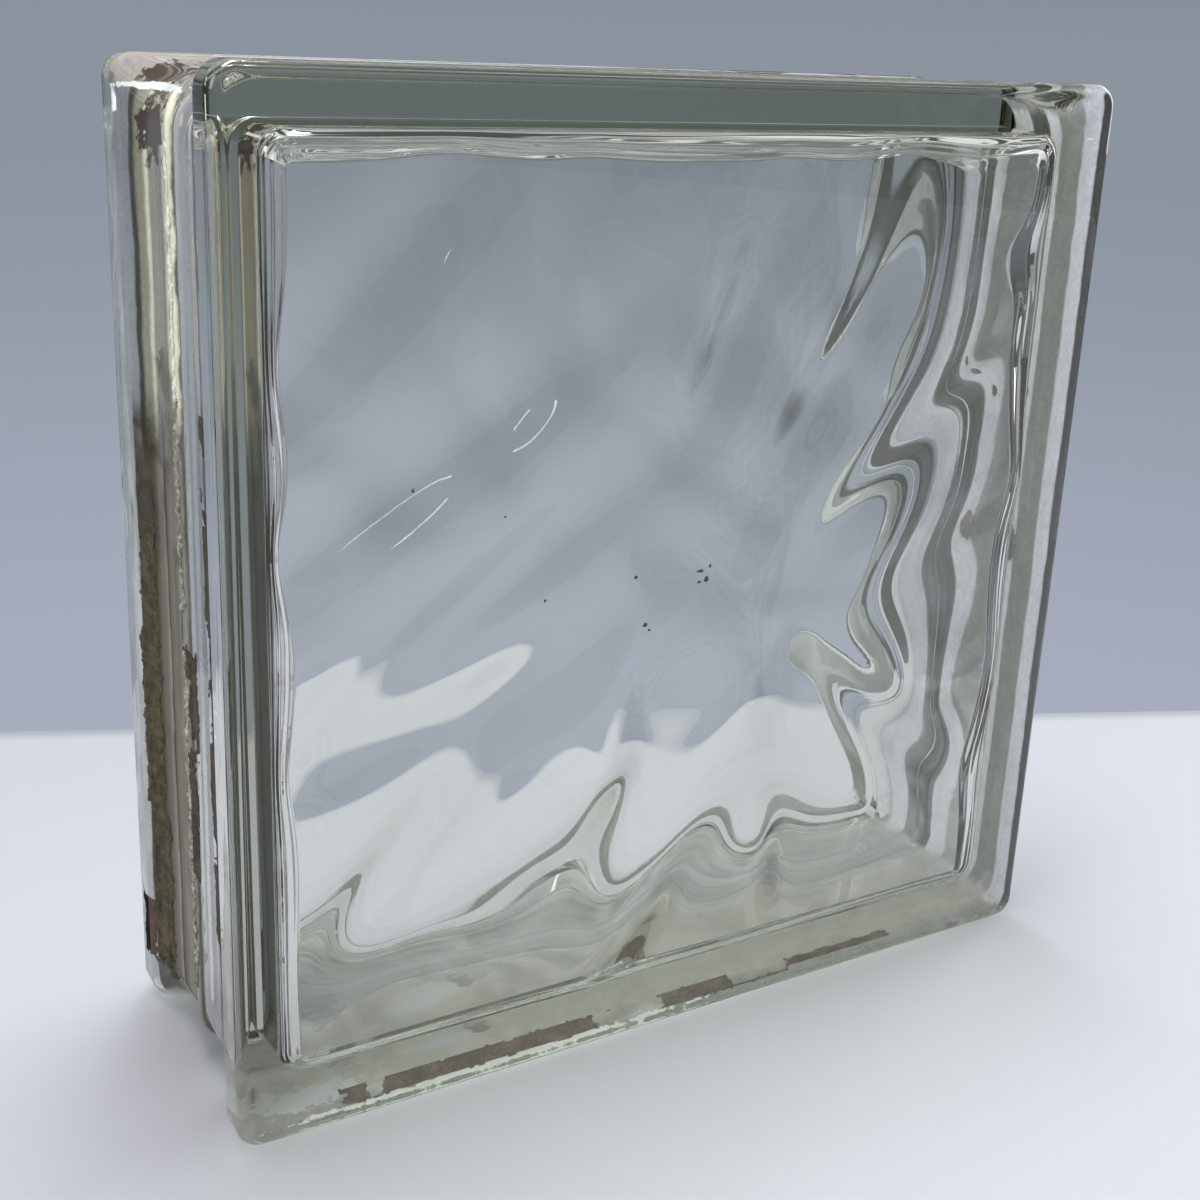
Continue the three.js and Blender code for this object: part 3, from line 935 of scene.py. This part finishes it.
residueForms = {  # lengths are in millimetres
    "channel_dust_left": {
        "side": "left",
        "patches": ((12, 176, 3.4, 27.6),),
        "seed": 40, "ragged": 0.7, "thick": 0.06, "bumps": 0.2, "taper": 6, "cell": 0.7,
        "material": dustMaterial(),
    },
    "soil_crust_left": {
        "side": "left",
        "patches": ((13, 137, 20.5, 27.4), (60, 108, 21, 28.6), (16, 60, 19, 27.4)),
        "seed": 3, "ragged": 1.5, "thick": 0.30, "bumps": 0.6, "taper": 5, "cell": 0.45,
        "material": soil,
    },
    "red_patch_left": {
        "side": "left",
        "patches": ((13, 31, 27.5, 35.5),),
        "seed": 8, "ragged": 1.6, "thick": 0.06, "bumps": 0.2, "sunk": 0.12,
        "material": rust,
    },
    "seam_patch_left": {
        "side": "left",
        "patches": ((84, 110, -6.5, 1.5),),
        "gaps": ((86, 100, -1.2, 0.6),),
        "seed": 15, "ragged": 0.9, "thick": 0.22, "bumps": 0.4, "taper": 6,
        "material": flake,
    },
    "low_patch_left": {
        "side": "left",
        "patches": ((50, 84, -3.7, 0.5),),
        "seed": 17, "ragged": 0.9, "thick": 0.22, "bumps": 0.4, "taper": 8,
        "material": flake,
    },
    "shoulder_flakes_left": {
        "side": "left",
        "patches": (
            (121, 147, -26, -14.2), (66, 93, -26, -14.4), (40, 63, -26, -14.6),
            (160, 166.5, -26, -14.2), (103.5, 108.5, -26, -14.6),
        ),
        "seed": 21, "ragged": 1.0, "thick": 0.15, "bumps": 0.3, "taper": 9, "cell": 0.45,
        "material": flake,
    },
    "seam_grit_left": {
        "side": "left",
        "patches": ((20, 168, -1.1, 1.9),),
        "gaps": ((110, 118, -3, 4),),
        "seed": 27, "ragged": 1.3, "thick": 0.4, "bumps": 1.5, "cell": 0.4,
        "material": grit,
    },
    "seam_crust_left": {
        "side": "left",
        "patches": ((164, 224, -1.0, 2.0),),
        "seed": 29, "ragged": 0.9, "thick": 0.3, "bumps": 1.0, "taper": 4, "cell": 0.4,
        "material": crust,
    },
    "stain_band_bottom": {
        "side": "bottom",
        "patches": ((-93, 40, -29.6, -22.6), (40, 77, -27.6, -23.6)),
        "gaps": ((23, 40, -28, -21.5), (-21, -2, -29, -23.5), (-85, -82, -31, -22)),
        "seed": 33, "ragged": 0.6, "thick": 0.2, "bumps": 0.3, "taper": 4,
        "material": mauve,
    },
}
for name, form in residueForms.items():
    piece = residueShell(name, form)

print("specks")
speckForm = {
    "flecks": (  # across, up and half sizes in millimetres
        (-20.6, 125.9, 0.45, 0.4), (-2.3, 125.0, 0.9, 0.35), (-0.4, 122.7, 0.6, 0.8),
        (-2.4, 122.2, 0.45, 0.35), (0.5, 125.9, 0.35, 0.5), (-17.3, 113.5, 0.55, 0.5),
        (-16.1, 112.0, 0.35, 0.3), (-44.9, 123.5, 0.3, 0.3), (-55.7, 144.7, 0.25, 0.25),
        (-78.0, 153.0, 0.35, 0.45),
    ),
    "halfThick": 0.03 * mm,
    "behindFace": 0.08 * mm,
}


def specks():
    # Flecks of old dirt at the front face.
    bm = bmesh.new()
    for across, up, wide, tall in speckForm["flecks"]:
        made = bmesh.ops.create_icosphere(bm, subdivisions=3, radius=1)["verts"]
        for vert in made:
            vert.co *= 1 + 0.7 * noise.noise(vert.co * 1.7 + Vector((across, up, 0)))
        bmesh.ops.scale(bm, verts=made, vec=(wide * mm, speckForm["halfThick"], tall * mm))
        bmesh.ops.translate(bm, verts=made, vec=(across * mm, speckForm["behindFace"] - halfDepth, up * mm))
    return bm


fleckPiece = makePiece("pane_flecks", specks(), flake)
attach(fleckPiece, "root")

print("stage")
heading = Vector((0.5053, 0.8629, 0))  # level direction the camera looks along
rightward = Vector((0.8629, -0.5053, 0))  # level direction to the right of it
floorLook = {
    "colour": (0.65, 0.66, 0.71),
    "edgeColour": (0.42, 0.44, 0.50),
    "edgeFacing": Vector((0.387, 0.922, 0)),
    "edgeAt": 158 * mm,  # from the block's middle to the back edge
    "edgeFade": 9 * mm,
    "size": (5, 3.4, 20 * mm),
    "gap": 0.05 * mm,  # under the block, so that the two don't share a face
}


def makeFloor():
    look = floorLook
    bm = bmesh.new()
    bmesh.ops.create_cube(bm, size=1)
    bmesh.ops.scale(bm, verts=bm.verts[:], vec=look["size"])
    middleAt = (0, look["edgeAt"] - look["size"][1] / 2, -look["size"][2] / 2 - look["gap"])
    bmesh.ops.translate(bm, verts=bm.verts[:], vec=middleAt)
    turn = math.atan2(-look["edgeFacing"].x, look["edgeFacing"].y)
    bmesh.ops.rotate(bm, verts=bm.verts[:], cent=(0, 0, 0), matrix=Matrix.Rotation(turn, 3, "Z"))
    material, tree, shader = newMaterial("floor")
    place = newNode(tree, "TexCoord")["Object"]
    along = vectorNode(tree, "DOT_PRODUCT", place, look["edgeFacing"])
    fade = rangeNode(tree, along, look["edgeAt"] - look["edgeFade"], look["edgeAt"])
    colour = mixNode(tree, "RGBA", fade, (*look["colour"], 1), (*look["edgeColour"], 1))
    feed(tree, shader, {"Base Color": colour, "Roughness": 0.6})
    piece = makePiece("floor", bm, material)


makeFloor()

worldLook = {
    "nearTable": (0.39, 0.42, 0.515, 1),  # low behind the block
    "midway": (0.26, 0.295, 0.35, 1),
    "room": (0.15, 0.17, 0.15, 1),  # above the level of the block
    "ceiling": (1.0, 1.0, 1.0, 1),
    "beam": (0.10, 0.11, 0.10, 1),  # between the bright parts of the ceiling
    "side": (0.07, 0.08, 0.075, 1),  # away to the right
    "behind": (0.08, 0.085, 0.075, 1),
    "overhead": (  # where each stripe starts, as the sine of its height
        (0.37, "ceiling"), (0.42, "beam"), (0.48, "ceiling"), (0.53, "beam"), (0.59, "ceiling"),
        (0.64, "beam"), (0.72, "ceiling"), (0.80, "beam"), (0.93, "ceiling"),
    ),
    "stripeBlur": 0.015,
    "fill": (0.62, 0.63, 0.66, 1),  # what the diffuse light comes from
}


def makeWorld():
    world = bpy.data.worlds.new("studio")
    bpy.context.scene.world = world
    world.use_nodes = True
    tree = world.node_tree
    place = newNode(tree, "TexCoord")["Generated"]

    def facing(direction):
        return vectorNode(tree, "DOT_PRODUCT", place, direction)

    def step(base, source, low, high, look):
        share = rangeNode(tree, source, low, high)
        return mixNode(tree, "RGBA", share, base, worldLook[look])

    height = facing(Vector((0, 0, 1)))
    ahead = step(worldLook["nearTable"], height, -0.4, -0.02, "midway")
    ahead = step(ahead, height, -0.02, 0.25, "room")
    sideways = step(ahead, facing(rightward), 0.27, 0.42, "side")
    share = rangeNode(tree, facing(heading), 0.3, 0.75)
    seen = mixNode(tree, "RGBA", share, worldLook["behind"], sideways)
    blur = worldLook["stripeBlur"]
    for start, look in worldLook["overhead"]:
        seen = step(seen, height, start - blur, start + blur, look)
    path = newNode(tree, "LightPath")
    straight = mathNode(tree, "MAXIMUM", path["Is Glossy Ray"], path["Is Transmission Ray"])
    undimmed = mathNode(tree, "LESS_THAN", path["Diffuse Depth"], 0.5)  # no dull surface yet
    straight = mathNode(tree, "MULTIPLY", straight, undimmed)
    light = mixNode(tree, "RGBA", straight, worldLook["fill"], seen)
    light = mixNode(tree, "RGBA", path["Is Camera Ray"], light, ahead)  # a plain backdrop
    feed(tree, tree.nodes["Background"], {"Color": light})


makeWorld()


def areaLamp(name, place, aim, size, power, turn):
    data = bpy.data.lights.new(name, "AREA")
    data.shape = "RECTANGLE"
    data.size, data.size_y = size
    data.energy = power
    lamp = bpy.data.objects.new(name, data)
    lamp.location = place
    facing = (Vector(aim) - Vector(place)).to_track_quat("-Z", "Y").to_matrix()
    lamp.rotation_euler = (facing @ Matrix.Rotation(math.radians(turn), 3, "Z")).to_euler()
    bpy.context.scene.collection.objects.link(lamp)


lamps = (  # name, place, what it faces, size, watts and turn in degrees
    ("overhead", (-0.1, 0.1, 1.3), (0, 0, 0.1), (0.9, 0.25), 13, 0),
    ("side", (-1.2, -0.4, 0.7), (0, 0, 0.1), (0.5, 0.8), 6, 0),
    ("right", (1.15, 0.15, 0.5), (0, 0, 0.1), (0.7, 0.7), 4, 0),
    ("glint", (0.15, -1.47, 0.36), (0, 0, 0.12), (0.1, 0.018), 0.3, 50),
)
for lamp in lamps:
    areaLamp(*lamp)

imageSide = 1200
cameraView = {
    "place": Vector((-213.3, -336.8, 243.0)) * mm,
    "forward": Vector((0.483, 0.8248, -0.2939)),
    "up": Vector((0.1173, 0.2716, 0.9552)),
    "focal": 1585.3 / imageSide,  # of the image's width
    "centre": (567.9 / imageSide, 540.6 / imageSide),  # where the lens looks, from the left and top
}


def makeCamera():
    data = bpy.data.cameras.new("camera")
    data.sensor_width = 36
    data.lens = cameraView["focal"] * data.sensor_width
    data.shift_x = 0.5 - cameraView["centre"][0]
    data.shift_y = cameraView["centre"][1] - 0.5
    data.clip_start = 0.01
    camera = bpy.data.objects.new("camera", data)
    back = -cameraView["forward"].normalized()
    side = cameraView["up"].cross(back).normalized()
    up = back.cross(side)
    turn = Matrix((side, up, back)).transposed()
    camera.matrix_world = Matrix.Translation(cameraView["place"]) @ turn.to_4x4()
    bpy.context.scene.collection.objects.link(camera)
    bpy.context.scene.camera = camera


makeCamera()
bpy.context.scene.view_settings.view_transform = "Standard"
